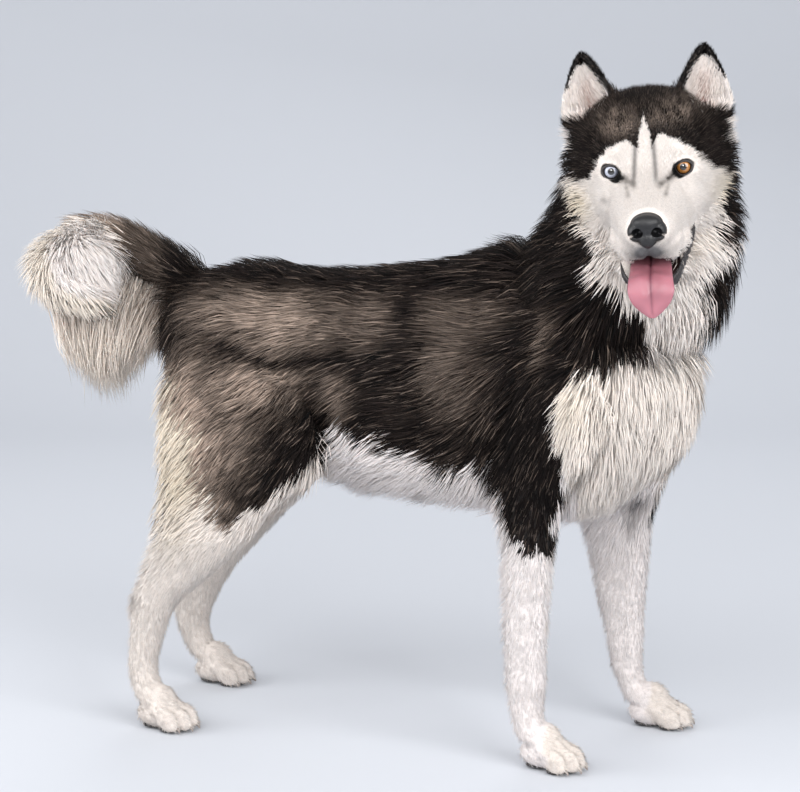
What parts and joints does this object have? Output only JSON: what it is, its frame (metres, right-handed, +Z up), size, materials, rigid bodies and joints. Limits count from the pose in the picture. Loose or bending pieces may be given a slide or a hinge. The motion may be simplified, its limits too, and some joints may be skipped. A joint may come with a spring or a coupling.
{
  "type": "siberian husky",
  "caption": "Life-size standing husky, head turned to its right, mouth open with the tongue out, brushed tail curled over the back.",
  "frame": {"origin": "on the floor, under the middle of the whole dog's box", "axes": "+X towards the chest, +Y to the dog's left, +Z up"},
  "size_m": [0.8518, 0.3008, 0.7947],
  "materials": {
    "coat_grizzle": "long guard hair, dark tips over cream and brown bands",
    "coat_black": "long black guard hair with a soft sheen",
    "coat_white": "dense white hair, warm in its depth",
    "coat_cream": "long soft cream hair",
    "nose_leather": "moist, finely pebbled black leather",
    "tongue_flesh": "wet pink flesh with a dark middle groove",
    "eye_amber": "wet clear cornea over an amber iris",
    "eye_blue": "wet clear cornea over a pale blue iris"
  },
  "bodies": {
    "root": {"torso": "coat_grizzle", "neck": "coat_black", "head": "coat_white", "jaw": "coat_white", "ear_left": "coat_black", "ear_right": "coat_black", "eye_left": "eye_amber", "eye_right": "eye_blue", "nose": "nose_leather", "tongue": "tongue_flesh", "front_leg_left": "coat_white", "front_leg_right": "coat_white", "thigh_left": "coat_grizzle", "thigh_right": "coat_grizzle", "shank_left": "coat_white", "shank_right": "coat_white", "front_paw_left": "coat_white", "front_paw_right": "coat_white", "hind_paw_left": "coat_white", "hind_paw_right": "coat_white", "tail_base": "coat_grizzle", "tail_brush": "coat_cream", "tail_tip": "coat_white"}
  },
  "joints": []
}
